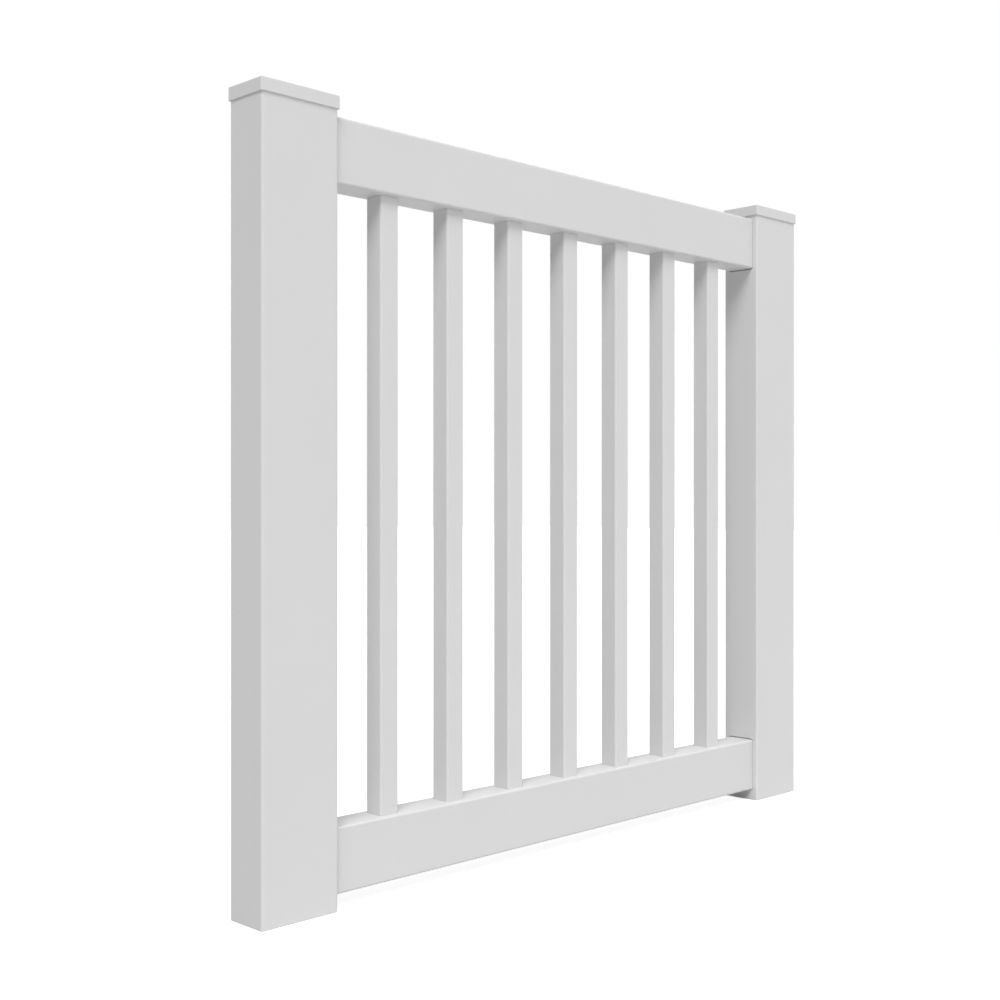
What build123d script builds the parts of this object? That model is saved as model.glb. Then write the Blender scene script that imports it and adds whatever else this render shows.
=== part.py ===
from build123d import *
import os
from math import ceil

# Vinyl railing gate: one leaf, made of hollow extrusions let into one another.
# Millimetres. +X runs along the leaf from the hinge side, +Z is up and the front looks to -Y.
# The origin is on the hinge upright's outer face, at its foot, half way through its depth.

# Leaf
leaf_width = 1190.6
leaf_height = 1066.8

# Uprights
upright_width = 120.65
upright_depth = 70.5
upright_wall = 3.2
upright_radius = 3.6

# Caps, which stand on the uprights' ends and plug into them
cap_height = 17.4
cap_overhang = 2.0
cap_ledge = 1.4
cap_plate = 3.0
cap_corner_radius = 3.0
cap_edge_radius = 1.5
plug_wall = 2.0
plug_clearance = 0.3
plug_rail_gap = 1.5

# Rails
rail_height = 88.9
rail_depth = 50.8
rail_wall = 2.6
rail_radius = 3.5
rail_entry = 38.1
rail_foot_gap = 19.0
rail_cap_gap = 6.2

# Routed sockets in the uprights' inner faces, looser towards the balusters
socket_side_clearance = 0.6
socket_outer_clearance = 0.3
socket_baluster_clearance = 1.5

# Balusters
baluster_size = 31.75
baluster_wall = 2.0
baluster_radius = 3.2
baluster_pitch = 123.4
baluster_entry = 25.4
hole_clearance = 0.3

# The tightest inside corner that the extrusions and the router leave
least_radius = 0.5

# Levels
upright_height = leaf_height - cap_height
top_rail_middle = upright_height - rail_cap_gap - rail_height / 2
bottom_rail_middle = rail_foot_gap + rail_height / 2
baluster_bottom = rail_foot_gap + rail_wall
baluster_top = top_rail_middle - rail_height / 2 + baluster_entry

# Places along the leaf
leaf_middle = leaf_width / 2
clear_width = leaf_width - 2 * upright_width
rail_length = clear_width + 2 * rail_entry
upright_middles = {"left": upright_width / 2, "right": leaf_width - upright_width / 2}

# As many balusters as keep both end gaps within the gap between two balusters
baluster_count = ceil((clear_width + baluster_size) / baluster_pitch) - 1


def inside_radius(outer_radius, wall):
    """The corner radius on the inside of a wall."""
    return max(outer_radius - wall, least_radius)


def draw_tube(width, depth, wall, radius):
    """Draw a hollow rectangular profile in the open sketch, centred on its origin."""
    RectangleRounded(width, depth, radius)
    RectangleRounded(
        width - 2 * wall, depth - 2 * wall, inside_radius(radius, wall), mode=Mode.SUBTRACT
    )


def make_upright(side, inward):
    """A tube, open at its foot, with a routed socket for each rail in its inner wall."""
    middle = upright_middles[side]
    socket_face = Plane(origin=(middle, 0, 0), x_dir=(0, inward, 0), z_dir=(inward, 0, 0))
    socket_height = rail_height + socket_outer_clearance + socket_baluster_clearance
    socket_shift = (socket_baluster_clearance - socket_outer_clearance) / 2
    with BuildPart() as upright:
        with BuildSketch(Plane(origin=(middle, 0, 0))):
            draw_tube(upright_width, upright_depth, upright_wall, upright_radius)
        extrude(amount=upright_height)
        # The cut starts in the middle of the hollow, so it goes through the inner wall alone
        with BuildSketch(socket_face):
            with Locations((0, bottom_rail_middle + socket_shift), (0, top_rail_middle - socket_shift)):
                RectangleRounded(
                    rail_depth + 2 * socket_side_clearance,
                    socket_height,
                    rail_radius + socket_side_clearance,
                )
        extrude(amount=upright_width, mode=Mode.SUBTRACT)
    upright.part.label = f"{side}_upright"
    export_step(upright.part, f"parts/{side}_upright.step")


def make_cap(side):
    """A moulded cap: a flat plate, a rim that bears on the upright's end, and a plug inside it."""
    middle = upright_middles[side]
    bore_width = upright_width - 2 * upright_wall
    bore_depth = upright_depth - 2 * upright_wall
    bore_radius = inside_radius(upright_radius, upright_wall)
    plug_drop = rail_cap_gap - plug_rail_gap
    with BuildPart() as cap:
        with BuildSketch(Plane(origin=(middle, 0, upright_height))):
            RectangleRounded(
                upright_width + 2 * cap_overhang, upright_depth + 2 * cap_overhang, cap_corner_radius
            )
        extrude(amount=cap_height)
        fillet(cap.edges().group_by(Axis.Z)[-1], cap_edge_radius)
        with BuildSketch(Plane(origin=(middle, 0, upright_height))):
            RectangleRounded(
                upright_width - 2 * cap_ledge,
                upright_depth - 2 * cap_ledge,
                inside_radius(upright_radius, cap_ledge),
            )
        extrude(amount=cap_height - cap_plate, mode=Mode.SUBTRACT)
        with BuildSketch(Plane(origin=(middle, 0, upright_height - plug_drop))):
            draw_tube(
                bore_width - 2 * plug_clearance, bore_depth - 2 * plug_clearance, plug_wall, bore_radius
            )
        extrude(amount=plug_drop + cap_height - cap_plate / 2)
    cap.part.label = f"{side}_cap"
    export_step(cap.part, f"parts/{side}_cap.step")


def make_rail(name, middle, holes_up):
    """A tube with a row of square holes routed through the wall that faces the balusters."""
    rail_end = Plane(
        origin=(upright_width - rail_entry, 0, middle), x_dir=(0, 1, 0), z_dir=(1, 0, 0)
    )
    with BuildPart() as rail:
        with BuildSketch(rail_end):
            draw_tube(rail_depth, rail_height, rail_wall, rail_radius)
        extrude(amount=rail_length)
        with BuildSketch(Plane(origin=(leaf_middle, 0, middle), z_dir=(0, 0, holes_up))):
            with GridLocations(baluster_pitch, 0, baluster_count, 1):
                RectangleRounded(
                    baluster_size + 2 * hole_clearance,
                    baluster_size + 2 * hole_clearance,
                    baluster_radius,
                )
        extrude(amount=rail_height, mode=Mode.SUBTRACT)
    rail.part.label = name
    export_step(rail.part, f"parts/{name}.step")


def make_baluster(number):
    """A square tube that stands on the bottom rail's floor and ends inside the top rail."""
    middle = leaf_middle + (number - (baluster_count + 1) / 2) * baluster_pitch
    with BuildPart() as baluster:
        with BuildSketch(Plane(origin=(middle, 0, baluster_bottom))):
            draw_tube(baluster_size, baluster_size, baluster_wall, baluster_radius)
        extrude(amount=baluster_top - baluster_bottom)
    baluster.part.label = f"baluster_{number}"
    export_step(baluster.part, f"parts/baluster_{number}.step")


os.makedirs("parts", exist_ok=True)
make_upright("left", inward=1)
make_upright("right", inward=-1)
make_cap("left")
make_cap("right")
make_rail("bottom_rail", bottom_rail_middle, holes_up=1)
make_rail("top_rail", top_rail_middle, holes_up=-1)
for number in range(1, baluster_count + 1):
    make_baluster(number)
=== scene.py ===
import math

import bpy
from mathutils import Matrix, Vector


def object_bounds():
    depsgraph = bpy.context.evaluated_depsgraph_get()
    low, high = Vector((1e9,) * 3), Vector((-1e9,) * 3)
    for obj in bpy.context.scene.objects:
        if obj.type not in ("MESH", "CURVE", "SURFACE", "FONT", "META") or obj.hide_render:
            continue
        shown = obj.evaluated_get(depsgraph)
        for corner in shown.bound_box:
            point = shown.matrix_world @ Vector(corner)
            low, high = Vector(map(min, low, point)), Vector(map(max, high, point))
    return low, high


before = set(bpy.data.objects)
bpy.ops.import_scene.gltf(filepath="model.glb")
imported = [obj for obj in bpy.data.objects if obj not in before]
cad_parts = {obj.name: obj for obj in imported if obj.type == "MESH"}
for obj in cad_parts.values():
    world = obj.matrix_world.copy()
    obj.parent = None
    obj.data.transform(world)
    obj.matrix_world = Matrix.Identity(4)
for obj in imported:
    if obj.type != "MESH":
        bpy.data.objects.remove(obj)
cad_low, cad_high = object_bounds()

# Camera: place in metres, tilt (90 is level) and turn from +Y in degrees, lens and sensor in millimetres
CAMERA_PLACE = Vector((-1.0135, -1.4680, 0.5383))
CAMERA_TILT = 90
CAMERA_AZIMUTH = -45
CAMERA_LENS = 50
CAMERA_SENSOR = 36

# Soft lamps: azimuth from +X towards +Y, elevation and width in degrees, strength in W/m2
LAMPS = {
    "key": (219, 50, 30, 2.0),
    "fill": (330, 42, 30, 0.6),
    "front": (270, 12, 40, 0.73),
    "back": (84, 12, 30, 1.1),
}

# Sky: its strength overhead as light, and all over as the camera sees it
SKY_OVERHEAD = 0.47
SKY_SEEN = 1
WHITE = (1, 1, 1, 1)

# Floor: size and gap below the leaf in metres, linear colour, finish, and glow as the camera sees it
FLOOR_SIZE = 40
FLOOR_GAP = 0.0005
FLOOR_COLOUR = (0.64, 0.64, 0.64, 1)
FLOOR_ROUGHNESS = 1
FLOOR_SHINE = 0
FLOOR_CAMERA_GLOW = 0.74

# Vinyl's tone: its linear white, how far that strays either way, and its patches per metre
VINYL_TONE = 0.70
TONE_SPREAD = 0.012
TONE_PATCHES = 7

# Vinyl's gloss, and how far its roughness strays either way
SATIN_SHINE = 0.15
SATIN_ROUGHNESS = 0.55
ROUGHNESS_SPREAD = 0.12

# Vinyl's relief: waves per metre across and along an extrusion and on a moulding, and depth in metres
DIE_LINES = 900
DRAW_WAVES = 2
MOULD_GRAIN = 2600
RELIEF_DEPTH = 0.00002


def make_camera():
    """A level camera, turned half way between the leaf's front and its hinge side."""
    data = bpy.data.cameras.new("camera")
    data.lens = CAMERA_LENS
    data.sensor_width = CAMERA_SENSOR
    camera = bpy.data.objects.new("camera", data)
    camera.location = CAMERA_PLACE
    camera.rotation_euler = (math.radians(CAMERA_TILT), 0, math.radians(CAMERA_AZIMUTH))
    bpy.context.scene.collection.objects.link(camera)
    bpy.context.scene.camera = camera


def make_lamp(name, azimuth, elevation, width, strength):
    """A soft lamp, far enough away to light the whole leaf alike."""
    data = bpy.data.lights.new(name, "SUN")
    data.energy = strength
    data.angle = math.radians(width)
    lamp = bpy.data.objects.new(name, data)
    turn = math.radians(azimuth)
    rise = math.radians(elevation)
    reach = math.cos(rise)
    towards_lamp = Vector((reach * math.cos(turn), reach * math.sin(turn), math.sin(rise)))
    lamp.rotation_euler = towards_lamp.to_track_quat("Z", "Y").to_euler()
    bpy.context.scene.collection.objects.link(lamp)


def add_seen_directly(tree):
    """Add nodes that give 1 where the camera looks, also by reflection or through glass, and else 0."""
    path = tree.nodes.new("ShaderNodeLightPath")
    reflected = tree.nodes.new("ShaderNodeMath")
    reflected.operation = "MAXIMUM"
    tree.links.new(path.outputs["Is Glossy Ray"], reflected.inputs[0])
    tree.links.new(path.outputs["Is Transmission Ray"], reflected.inputs[1])
    seen = tree.nodes.new("ShaderNodeMath")
    seen.operation = "MAXIMUM"
    tree.links.new(path.outputs["Is Camera Ray"], seen.inputs[0])
    tree.links.new(reflected.outputs[0], seen.inputs[1])
    return seen.outputs[0]


def make_world():
    """A soft sky, brightest overhead, which shows as white."""
    world = bpy.data.worlds.new("studio")
    world.use_nodes = True
    tree = world.node_tree
    background = tree.nodes["Background"]
    background.inputs["Color"].default_value = WHITE
    direction = tree.nodes.new("ShaderNodeTexCoord")
    height = tree.nodes.new("ShaderNodeSeparateXYZ")
    tree.links.new(direction.outputs["Generated"], height.inputs["Vector"])
    sky = tree.nodes.new("ShaderNodeMapRange")
    sky.inputs["To Max"].default_value = SKY_OVERHEAD
    tree.links.new(height.outputs["Z"], sky.inputs["Value"])
    strength = tree.nodes.new("ShaderNodeMapRange")
    strength.inputs["To Max"].default_value = SKY_SEEN
    tree.links.new(sky.outputs["Result"], strength.inputs["To Min"])
    tree.links.new(add_seen_directly(tree), strength.inputs["Value"])
    tree.links.new(strength.outputs["Result"], background.inputs["Strength"])
    bpy.context.scene.world = world


def make_floor_finish():
    """A pale matt finish that shows as white, apart from the leaf's shadow."""
    material = bpy.data.materials.new("floor")
    material.use_nodes = True
    tree = material.node_tree
    shader = tree.nodes["Principled BSDF"]
    shader.inputs["Base Color"].default_value = FLOOR_COLOUR
    shader.inputs["Roughness"].default_value = FLOOR_ROUGHNESS
    shader.inputs["Specular IOR Level"].default_value = FLOOR_SHINE
    shader.inputs["Emission Color"].default_value = WHITE
    glow = tree.nodes.new("ShaderNodeMapRange")
    glow.inputs["To Max"].default_value = FLOOR_CAMERA_GLOW
    tree.links.new(add_seen_directly(tree), glow.inputs["Value"])
    tree.links.new(glow.outputs["Result"], shader.inputs["Emission Strength"])
    return material


def make_floor():
    """A wide level floor, just below the uprights' feet."""
    half = FLOOR_SIZE / 2
    corners = [(-half, -half, 0), (half, -half, 0), (half, half, 0), (-half, half, 0)]
    mesh = bpy.data.meshes.new("floor")
    mesh.from_pydata(corners, [], [(0, 1, 2, 3)])
    mesh.materials.append(make_floor_finish())
    floor = bpy.data.objects.new("floor", mesh)
    floor.location.z = cad_low.z - FLOOR_GAP
    bpy.context.scene.collection.objects.link(floor)


def add_noise(tree, waves):
    """Add noise that is fixed to the leaf, with so many waves per metre along X, Y and Z."""
    place = tree.nodes.new("ShaderNodeTexCoord")
    stretch = tree.nodes.new("ShaderNodeMapping")
    stretch.inputs["Scale"].default_value = waves
    tree.links.new(place.outputs["Object"], stretch.inputs["Vector"])
    noise = tree.nodes.new("ShaderNodeTexNoise")
    noise.inputs["Scale"].default_value = 1
    tree.links.new(stretch.outputs["Vector"], noise.inputs["Vector"])
    return noise.outputs["Fac"]


def add_spread(tree, noise, middle, spread):
    """Add a node that turns noise into a value which strays from its middle by a spread either way."""
    level = tree.nodes.new("ShaderNodeMapRange")
    level.inputs["To Min"].default_value = middle - spread
    level.inputs["To Max"].default_value = middle + spread
    tree.links.new(noise, level.inputs["Value"])
    return level.outputs["Result"]


def make_vinyl(name, grain):
    """Satin white PVC, slightly uneven in tone, with a fine relief that varies its gloss too."""
    material = bpy.data.materials.new(name)
    material.use_nodes = True
    tree = material.node_tree
    shader = tree.nodes["Principled BSDF"]
    shader.inputs["Specular IOR Level"].default_value = SATIN_SHINE
    tone = add_noise(tree, (TONE_PATCHES, TONE_PATCHES, TONE_PATCHES))
    white = add_spread(tree, tone, VINYL_TONE, TONE_SPREAD)
    tree.links.new(white, shader.inputs["Base Color"])
    relief = add_noise(tree, grain)
    roughness = add_spread(tree, relief, SATIN_ROUGHNESS, ROUGHNESS_SPREAD)
    tree.links.new(roughness, shader.inputs["Roughness"])
    bump = tree.nodes.new("ShaderNodeBump")
    bump.inputs["Distance"].default_value = RELIEF_DEPTH
    tree.links.new(relief, bump.inputs["Height"])
    tree.links.new(bump.outputs["Normal"], shader.inputs["Normal"])
    return material


def dress(material, *names):
    """Give the named pieces a finish."""
    for name in names:
        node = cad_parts[name]
        node.data.materials.clear()
        node.data.materials.append(material)


make_camera()
make_world()
make_floor()
for name, settings in LAMPS.items():
    make_lamp(name, *settings)

# The relief runs along each extrusion: up the uprights and balusters, and along the rails
upright_vinyl = make_vinyl("upright_vinyl", (DIE_LINES, DIE_LINES, DRAW_WAVES))
rail_vinyl = make_vinyl("rail_vinyl", (DRAW_WAVES, DIE_LINES, DIE_LINES))
cap_vinyl = make_vinyl("cap_vinyl", (MOULD_GRAIN, MOULD_GRAIN, MOULD_GRAIN))
balusters = [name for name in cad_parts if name.startswith("baluster")]
dress(upright_vinyl, "left_upright", "right_upright", *balusters)
dress(rail_vinyl, "top_rail", "bottom_rail")
dress(cap_vinyl, "left_cap", "right_cap")

bpy.context.scene.view_settings.view_transform = "Standard"
